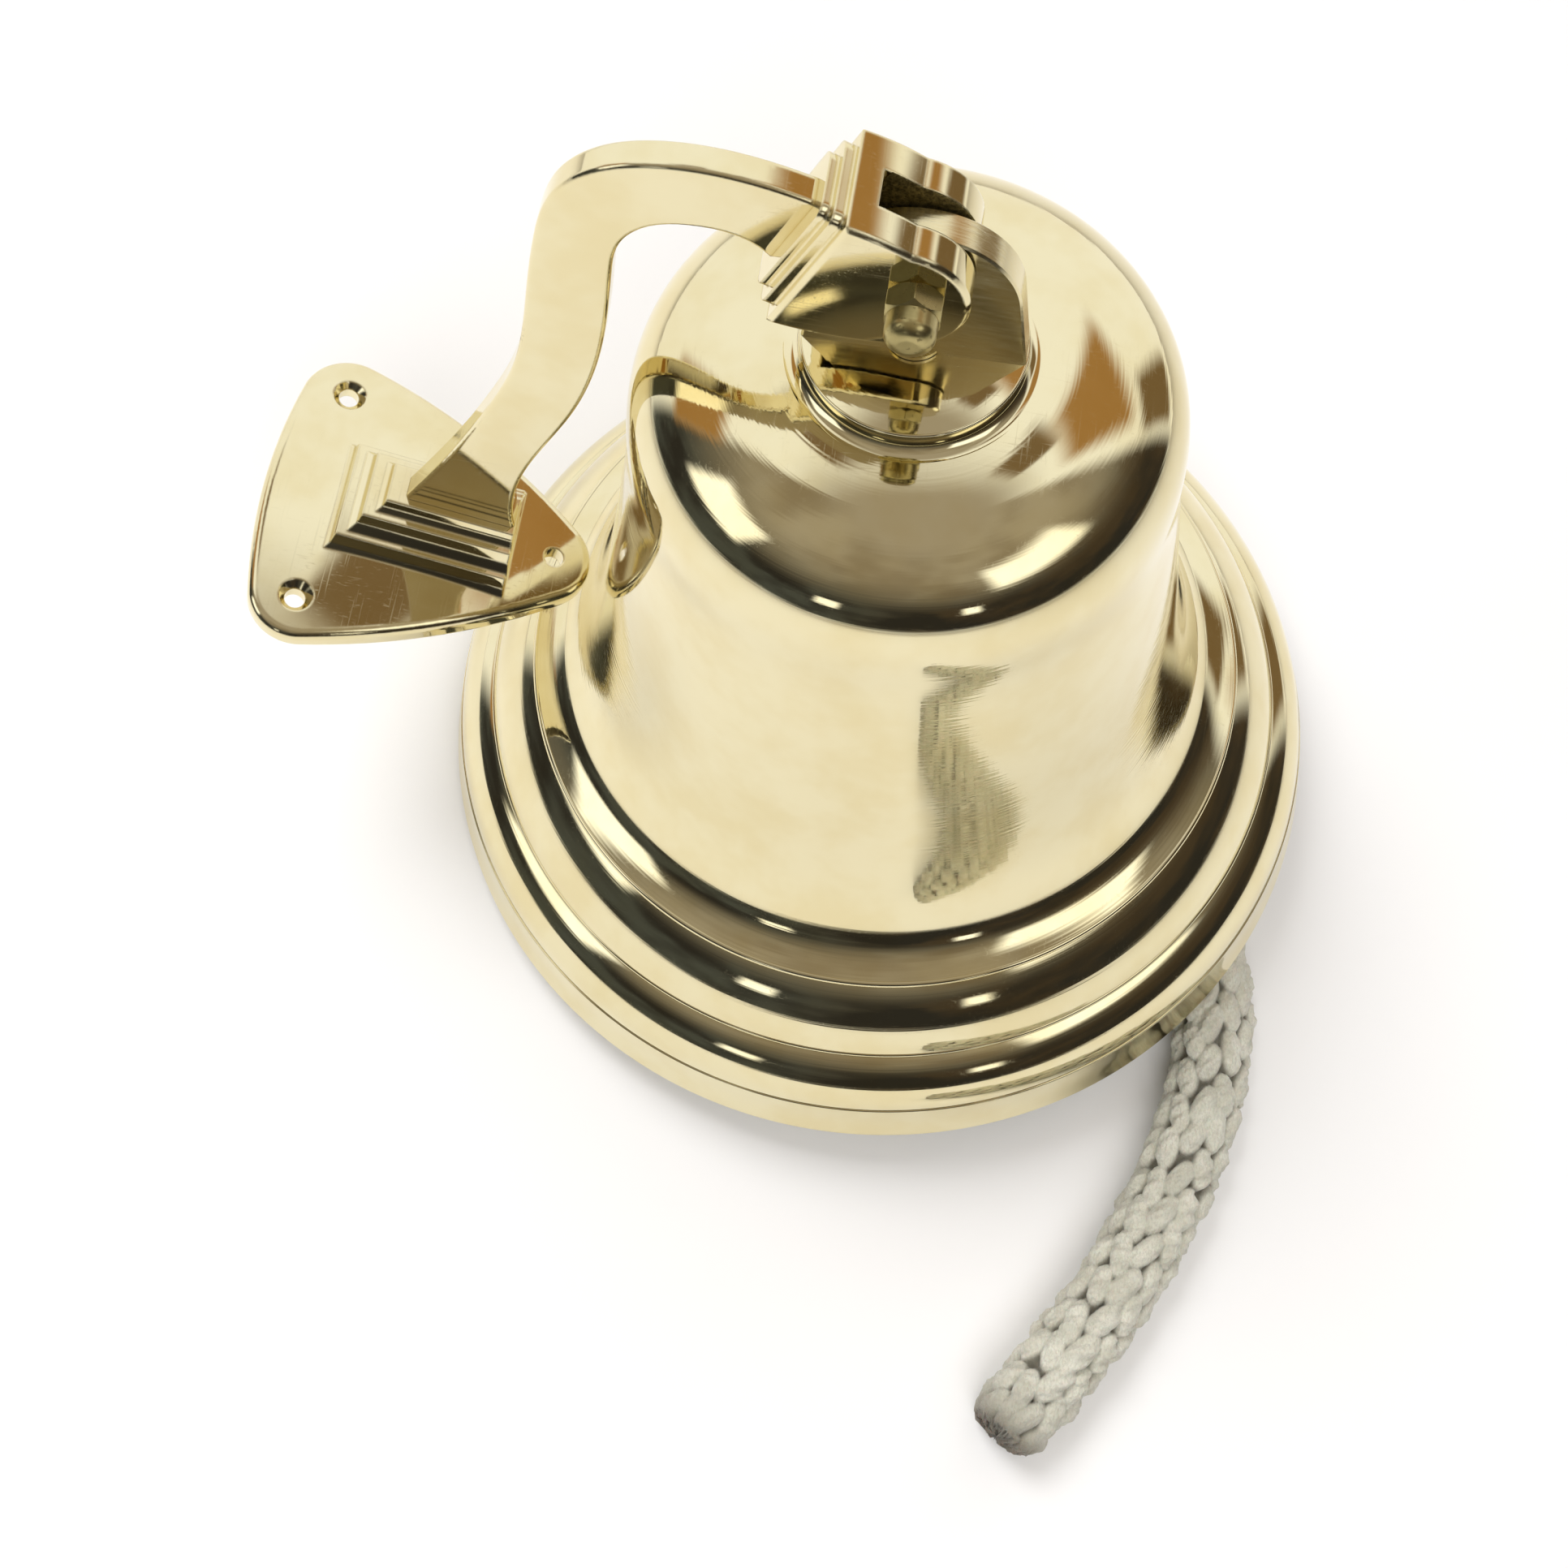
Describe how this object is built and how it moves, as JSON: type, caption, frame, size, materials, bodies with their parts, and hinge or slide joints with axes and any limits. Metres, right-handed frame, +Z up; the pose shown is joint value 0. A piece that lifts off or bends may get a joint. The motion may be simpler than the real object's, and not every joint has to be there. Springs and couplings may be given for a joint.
{
  "type": "ship bell",
  "caption": "Brass ship bell standing on its mouth, with hinged wall bracket, hanging clapper and braided bell rope.",
  "frame": {"origin": "on the floor, under the middle of the box around the bell and its bracket", "axes": "+Z up, -X towards the wall plate, -Y towards the domed nut of the bracket's bolt"},
  "size_m": [0.2384, 0.2608, 0.2095],
  "materials": {
    "polished_brass": "mirror polished",
    "brushed_brass": "brushed",
    "plain_brass": "plain",
    "cotton_rope": "solid braid"
  },
  "bodies": {
    "bell": {"bell_body": "polished_brass", "crown_lug": "brushed_brass", "crown_washer": "plain_brass", "crown_nut": "plain_brass", "clapper_clevis": "plain_brass", "clapper_pin": "plain_brass", "rope_lanyard": "cotton_rope"},
    "clapper": {"clapper_rod": "plain_brass", "clapper_ball": "polished_brass", "tail_ring": "plain_brass", "rope_ferrule": "plain_brass"},
    "bracket": {"wall_plate": "polished_brass", "bracket_arm": "polished_brass", "fork_head": "polished_brass", "pivot_bolt": "plain_brass", "acorn_nut": "plain_brass"}
  },
  "joints": [
    {"name": "bracket_swing", "type": "hinge", "parent": "bell", "child": "bracket", "pos_m": [0.00604, 0.00737, 0.19493], "axis": [0.0014, 0.9993, -0.0385], "range_deg": [0, 120]},
    {"name": "clapper_swing", "type": "hinge", "parent": "bell", "child": "clapper", "pos_m": [0.01013, 0.00519, 0.13862], "axis": [0.0014, 0.9993, -0.0385], "range_deg": [-20, 25], "deforming": ["rope_lanyard"]}
  ]
}
